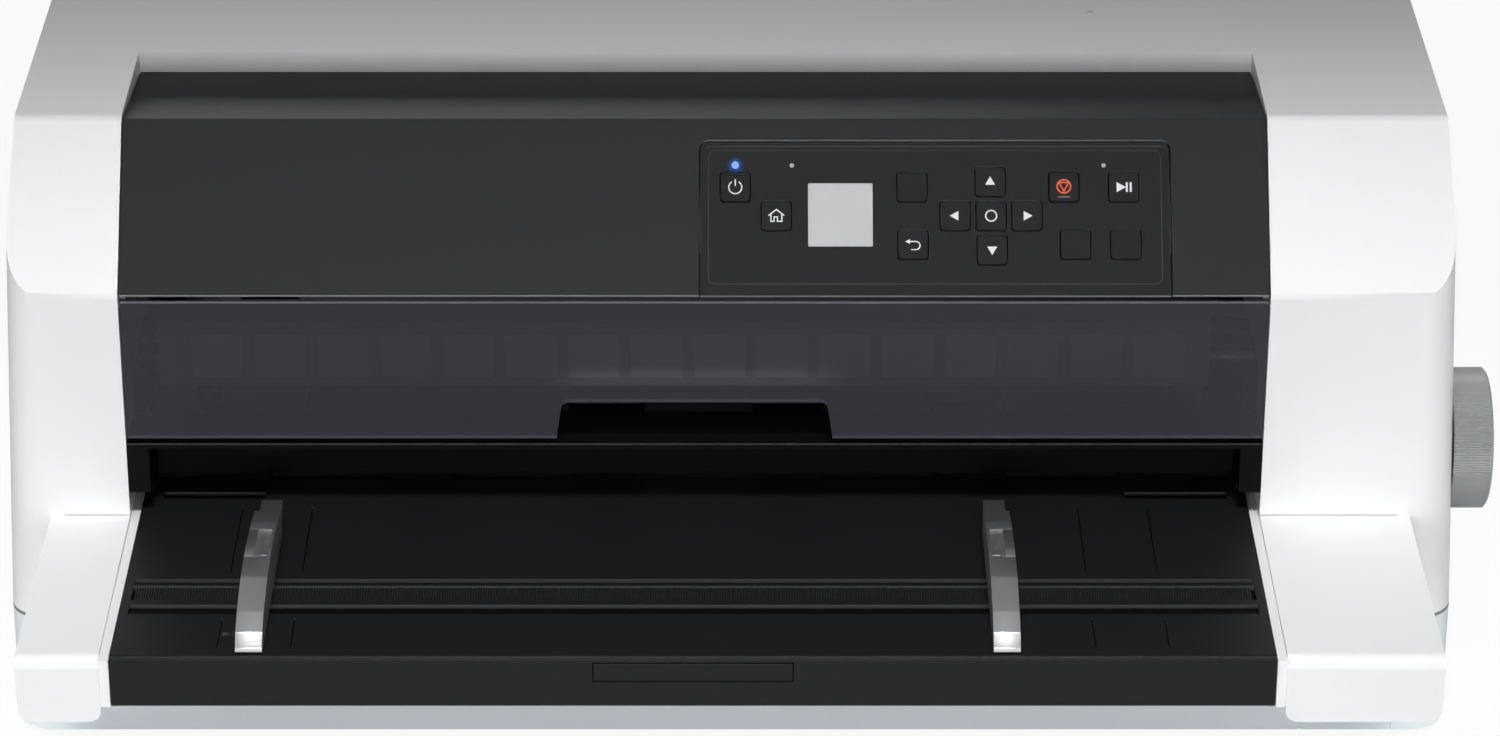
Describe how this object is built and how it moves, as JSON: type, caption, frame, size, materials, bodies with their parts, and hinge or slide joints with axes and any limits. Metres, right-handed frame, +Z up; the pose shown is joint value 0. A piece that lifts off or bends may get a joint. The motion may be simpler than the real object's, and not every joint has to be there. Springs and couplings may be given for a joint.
{
  "type": "dot matrix printer",
  "caption": "Wide flat-bed dot matrix printer with hinged black cover, smoked window, inset keypad, feed table with sliding edge guides and a ribbed paper knob.",
  "frame": {"origin": "bottom centre of the bounding box, on the surface the feet rest on", "axes": "+X to the right seen from the front, along the width; +Y to the back; +Z up"},
  "size_m": [0.6432, 0.402, 0.2754],
  "materials": {
    "base_tray": "fine textured moulding",
    "feet": "matt",
    "upper_housing": "fine textured moulding",
    "left_arm": "fine textured moulding",
    "right_arm": "fine textured moulding",
    "feed_table": "textured moulding",
    "guide_rack": "satin",
    "slot_frame": "satin",
    "front_crossbar": "satin",
    "control_panel": "satin",
    "display": "clear",
    "status_lamps": "clear",
    "left_side_plate": "zinc plated",
    "right_side_plate": "zinc plated",
    "chassis_pan": "zinc plated",
    "paper_bed": "textured moulding",
    "roller_bushes": "sintered",
    "carriage_rail": "ground",
    "carriage_belt": "matt",
    "belt_motor": "satin",
    "feed_motor": "satin",
    "power_supply": "zinc plated",
    "main_board": "lacquered board",
    "power_inlet": "moulded",
    "interface_ports": "moulded",
    "housing_screws": "zinc plated",
    "ribbon_cartridge": "moulded",
    "ink_ribbon": "inked nylon",
    "sheet_support": "textured moulding",
    "top_cover": "fine textured moulding",
    "front_window": "smoked",
    "left_edge_guide": "satin",
    "right_edge_guide": "satin",
    "carriage": "moulded",
    "print_head": "cast",
    "drive_pulley": "turned",
    "idler_pulley": "turned",
    "front_roller_shaft": "ground",
    "front_rollers": "ground",
    "rear_roller_shaft": "ground",
    "rear_rollers": "ground",
    "pinch_rollers": "ground",
    "knob": "satin",
    "knob_shaft": "ground",
    "idler_gear": "moulded",
    "motor_pinion": "machined",
    "rear_cover": "fine textured moulding",
    "power_button": "satin",
    "home_button": "satin",
    "source_button": "satin",
    "back_button": "satin",
    "left_button": "satin",
    "ok_button": "satin",
    "right_button": "satin",
    "up_button": "satin",
    "down_button": "satin",
    "cancel_button": "satin",
    "pause_button": "satin",
    "load_button": "satin",
    "feed_button": "satin"
  },
  "bodies": {
    "chassis": {"base_tray": "base_tray", "feet": "feet", "upper_housing": "upper_housing", "left_arm": "left_arm", "right_arm": "right_arm", "feed_table": "feed_table", "guide_rack": "guide_rack", "slot_frame": "slot_frame", "front_crossbar": "front_crossbar", "control_panel": "control_panel", "display": "display", "status_lamps": "status_lamps", "left_side_plate": "left_side_plate", "right_side_plate": "right_side_plate", "chassis_pan": "chassis_pan", "paper_bed": "paper_bed", "roller_bushes": "roller_bushes", "carriage_rail": "carriage_rail", "carriage_belt": "carriage_belt", "belt_motor": "belt_motor", "feed_motor": "feed_motor", "power_supply": "power_supply", "main_board": "main_board", "power_inlet": "power_inlet", "interface_ports": "interface_ports", "housing_screws": "housing_screws", "ribbon_cartridge": "ribbon_cartridge", "ink_ribbon": "ink_ribbon"},
    "cover": {"top_cover": "top_cover"},
    "window": {"front_window": "front_window"},
    "left_guide": {"left_edge_guide": "left_edge_guide"},
    "right_guide": {"right_edge_guide": "right_edge_guide"},
    "support": {"sheet_support": "sheet_support"},
    "carriage": {"carriage": "carriage", "print_head": "print_head"},
    "drive_pulley": {"drive_pulley": "drive_pulley"},
    "idler_pulley": {"idler_pulley": "idler_pulley"},
    "front_roller": {"front_roller_shaft": "front_roller_shaft", "front_rollers": "front_rollers"},
    "rear_roller": {"rear_roller_shaft": "rear_roller_shaft", "rear_rollers": "rear_rollers"},
    "pinch_roller": {"pinch_rollers": "pinch_rollers"},
    "knob": {"knob": "knob", "knob_shaft": "knob_shaft"},
    "idler_gear": {"idler_gear": "idler_gear"},
    "motor_pinion": {"motor_pinion": "motor_pinion"},
    "rear_cover": {"rear_cover": "rear_cover"},
    "power_button": {"power_button": "power_button"},
    "home_button": {"home_button": "home_button"},
    "source_button": {"source_button": "source_button"},
    "back_button": {"back_button": "back_button"},
    "left_button": {"left_button": "left_button"},
    "ok_button": {"ok_button": "ok_button"},
    "right_button": {"right_button": "right_button"},
    "up_button": {"up_button": "up_button"},
    "down_button": {"down_button": "down_button"},
    "cancel_button": {"cancel_button": "cancel_button"},
    "pause_button": {"pause_button": "pause_button"},
    "load_button": {"load_button": "load_button"},
    "feed_button": {"feed_button": "feed_button"}
  },
  "joints": [
    {"name": "cover_hinge", "type": "hinge", "parent": "chassis", "child": "cover", "pos_m": [-0.02385, 0.0335, 0.2627], "axis": [-1, 0, 0], "range_deg": [0, 75]},
    {"name": "window_hinge", "type": "hinge", "parent": "chassis", "child": "window", "pos_m": [-0.02385, -0.0752, 0.2075], "axis": [-1, 0, 0], "range_deg": [0, 85]},
    {"name": "rear_cover_hinge", "type": "hinge", "parent": "chassis", "child": "rear_cover", "pos_m": [-0.02335, 0.11223, 0.2656], "axis": [1, 0, 0], "range_deg": [0, 80]},
    {"name": "left_guide_slide", "type": "slide", "parent": "chassis", "child": "left_guide", "axis": [1, 0, 0], "range_m": [-0.045, 0.06]},
    {"name": "right_guide_slide", "type": "slide", "parent": "chassis", "child": "right_guide", "axis": [1, 0, 0], "range_m": [-0.2, 0.095]},
    {"name": "support_slide", "type": "slide", "parent": "chassis", "child": "support", "axis": [0, -1, 0], "range_m": [0, 0.08]},
    {"name": "carriage_slide", "type": "slide", "parent": "chassis", "child": "carriage", "axis": [1, 0, 0], "range_m": [0, 0.37]},
    {"name": "front_roller_spin", "type": "hinge", "parent": "chassis", "child": "front_roller", "pos_m": [-0.00835, -0.032, 0.1004], "axis": [1, 0, 0], "continuous": true},
    {"name": "rear_roller_spin", "type": "hinge", "parent": "chassis", "child": "rear_roller", "pos_m": [-0.00835, 0.027, 0.1004], "axis": [1, 0, 0], "continuous": true},
    {"name": "pinch_roller_spin", "type": "hinge", "parent": "chassis", "child": "pinch_roller", "pos_m": [-0.00835, -0.032, 0.1157], "axis": [1, 0, 0], "continuous": true},
    {"name": "idler_gear_spin", "type": "hinge", "parent": "chassis", "child": "idler_gear", "pos_m": [0.23165, -0.0025, 0.1004], "axis": [1, 0, 0], "continuous": true},
    {"name": "motor_pinion_spin", "type": "hinge", "parent": "chassis", "child": "motor_pinion", "pos_m": [0.23165, -0.0025, 0.0769], "axis": [1, 0, 0], "continuous": true},
    {"name": "knob_spin", "type": "hinge", "parent": "chassis", "child": "knob", "pos_m": [0.29165, -0.02197, 0.11885], "axis": [1, 0, 0], "continuous": true},
    {"name": "drive_pulley_spin", "type": "hinge", "parent": "chassis", "child": "drive_pulley", "pos_m": [-0.29235, 0.023, 0.155], "axis": [0, 0, 1], "range_deg": [-3060, 10]},
    {"name": "idler_pulley_spin", "type": "hinge", "parent": "chassis", "child": "idler_pulley", "pos_m": [0.24165, 0.023, 0.155], "axis": [0, 0, 1], "range_deg": [-3060, 10]},
    {"name": "power_button_press", "type": "slide", "parent": "chassis", "child": "power_button", "axis": [0, 0.794, -0.608], "range_m": [0, 0.0008], "stiffness_N_per_m": 600},
    {"name": "home_button_press", "type": "slide", "parent": "chassis", "child": "home_button", "axis": [0, 0.794, -0.608], "range_m": [0, 0.0008], "stiffness_N_per_m": 600},
    {"name": "source_button_press", "type": "slide", "parent": "chassis", "child": "source_button", "axis": [0, 0.794, -0.608], "range_m": [0, 0.0008], "stiffness_N_per_m": 600},
    {"name": "back_button_press", "type": "slide", "parent": "chassis", "child": "back_button", "axis": [0, 0.794, -0.608], "range_m": [0, 0.0008], "stiffness_N_per_m": 600},
    {"name": "left_button_press", "type": "slide", "parent": "chassis", "child": "left_button", "axis": [0, 0.794, -0.608], "range_m": [0, 0.0008], "stiffness_N_per_m": 600},
    {"name": "ok_button_press", "type": "slide", "parent": "chassis", "child": "ok_button", "axis": [0, 0.794, -0.608], "range_m": [0, 0.0008], "stiffness_N_per_m": 600},
    {"name": "right_button_press", "type": "slide", "parent": "chassis", "child": "right_button", "axis": [0, 0.794, -0.608], "range_m": [0, 0.0008], "stiffness_N_per_m": 600},
    {"name": "up_button_press", "type": "slide", "parent": "chassis", "child": "up_button", "axis": [0, 0.794, -0.608], "range_m": [0, 0.0008], "stiffness_N_per_m": 600},
    {"name": "down_button_press", "type": "slide", "parent": "chassis", "child": "down_button", "axis": [0, 0.794, -0.608], "range_m": [0, 0.0008], "stiffness_N_per_m": 600},
    {"name": "cancel_button_press", "type": "slide", "parent": "chassis", "child": "cancel_button", "axis": [0, 0.794, -0.608], "range_m": [0, 0.0008], "stiffness_N_per_m": 600},
    {"name": "pause_button_press", "type": "slide", "parent": "chassis", "child": "pause_button", "axis": [0, 0.794, -0.608], "range_m": [0, 0.0008], "stiffness_N_per_m": 600},
    {"name": "load_button_press", "type": "slide", "parent": "chassis", "child": "load_button", "axis": [0, 0.794, -0.608], "range_m": [0, 0.0008], "stiffness_N_per_m": 600},
    {"name": "feed_button_press", "type": "slide", "parent": "chassis", "child": "feed_button", "axis": [0, 0.794, -0.608], "range_m": [0, 0.0008], "stiffness_N_per_m": 600}
  ],
  "couplings": [
    {"joint": "rear_roller_spin", "follows": "front_roller_spin", "ratio": 1},
    {"joint": "pinch_roller_spin", "follows": "front_roller_spin", "ratio": -2},
    {"joint": "idler_gear_spin", "follows": "front_roller_spin", "ratio": -0.68571},
    {"joint": "motor_pinion_spin", "follows": "front_roller_spin", "ratio": 2},
    {"joint": "knob_spin", "follows": "front_roller_spin", "ratio": -1.3333},
    {"joint": "drive_pulley_spin", "follows": "carriage_slide", "rad_per_m": -142.86},
    {"joint": "idler_pulley_spin", "follows": "carriage_slide", "rad_per_m": -142.86}
  ]
}
